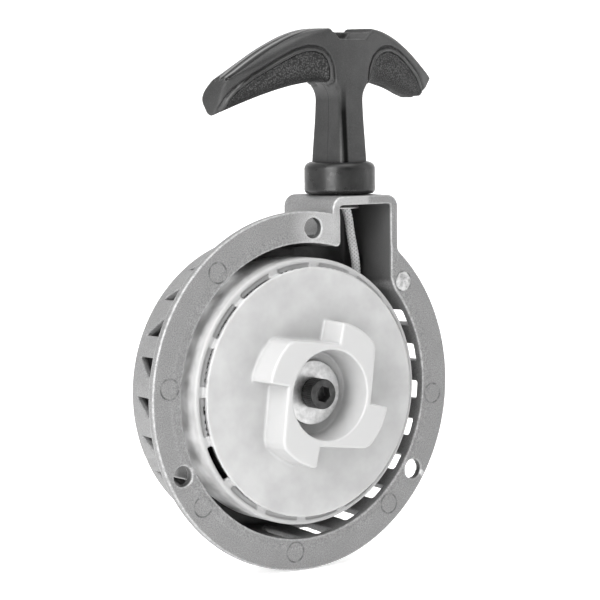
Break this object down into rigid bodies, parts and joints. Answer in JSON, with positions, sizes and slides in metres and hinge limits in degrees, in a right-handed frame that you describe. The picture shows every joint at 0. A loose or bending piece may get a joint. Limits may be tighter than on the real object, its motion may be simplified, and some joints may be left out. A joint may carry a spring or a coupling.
{
  "type": "recoil starter",
  "caption": "Pull starter for a small two-stroke engine: cast flanged housing with louvres, white clawed reel and a T-handle on a rope.",
  "frame": {"origin": "on the reel axis, in the plane of the flange face that meets the engine", "axes": "+Y along the reel axis away from the engine, +Z the way the rope is pulled, +X towards the rope tower"},
  "size_m": [0.1364, 0.0524, 0.1839],
  "materials": {
    "cast_aluminium": "blasted die casting",
    "white_nylon": "translucent natural nylon",
    "black_plastic": "moulded, satin",
    "soft_grip": "stippled",
    "black_rubber": "smooth",
    "bright_steel": "zinc plated",
    "spring_steel": "blued strip",
    "black_oxide": "black oxide",
    "rope_nylon": "braided"
  },
  "bodies": {
    "housing": {"starter_housing": "cast_aluminium", "rope_eyelet": "bright_steel", "spring_case": "bright_steel", "recoil_spring": "spring_steel", "retaining_washer": "bright_steel", "retaining_screw": "black_oxide", "rope_inner_run": "rope_nylon"},
    "pulley": {"rope_pulley": "white_nylon", "rope_coil": "rope_nylon", "rope_anchor_knot": "rope_nylon", "thrust_washer": "bright_steel"},
    "drive": {"drive_cup": "white_nylon", "buffer_spring": "spring_steel"},
    "rope_end": {"rope_outer_run": "rope_nylon", "rope_handle_knot": "rope_nylon", "knot_washer": "bright_steel"},
    "handle": {"handle_body": "black_plastic", "grip_pad_left": "soft_grip", "grip_pad_right": "soft_grip", "handle_collar": "black_rubber"}
  },
  "joints": [
    {"name": "handle_pull", "type": "slide", "parent": "housing", "child": "rope_end", "axis": [0, 0, 1], "range_m": [0, 0.65], "stiffness_N_per_m": 12, "springref_m": -0.8, "deforming": ["rope_outer_run"]},
    {"name": "reel_spin", "type": "hinge", "parent": "housing", "child": "pulley", "pos_m": [0, 0, 0], "axis": [0, -1, 0], "range_deg": [0, 1040], "deforming": ["recoil_spring"]},
    {"name": "cup_windup", "type": "hinge", "parent": "pulley", "child": "drive", "pos_m": [0, 0, 0], "axis": [0, -1, 0], "range_deg": [-360, 0], "stiffness_Nm_per_rad": 0.06, "springref_deg": 28.65, "deforming": ["buffer_spring"]},
    {"name": "handle_swivel", "type": "hinge", "parent": "rope_end", "child": "handle", "pos_m": [0.026, 0.015, 0.11], "axis": [0, 0, 1], "range_deg": [-180, 180]}
  ],
  "couplings": [
    {"joint": "reel_spin", "follows": "handle_pull", "rad_per_m": 27.8}
  ]
}
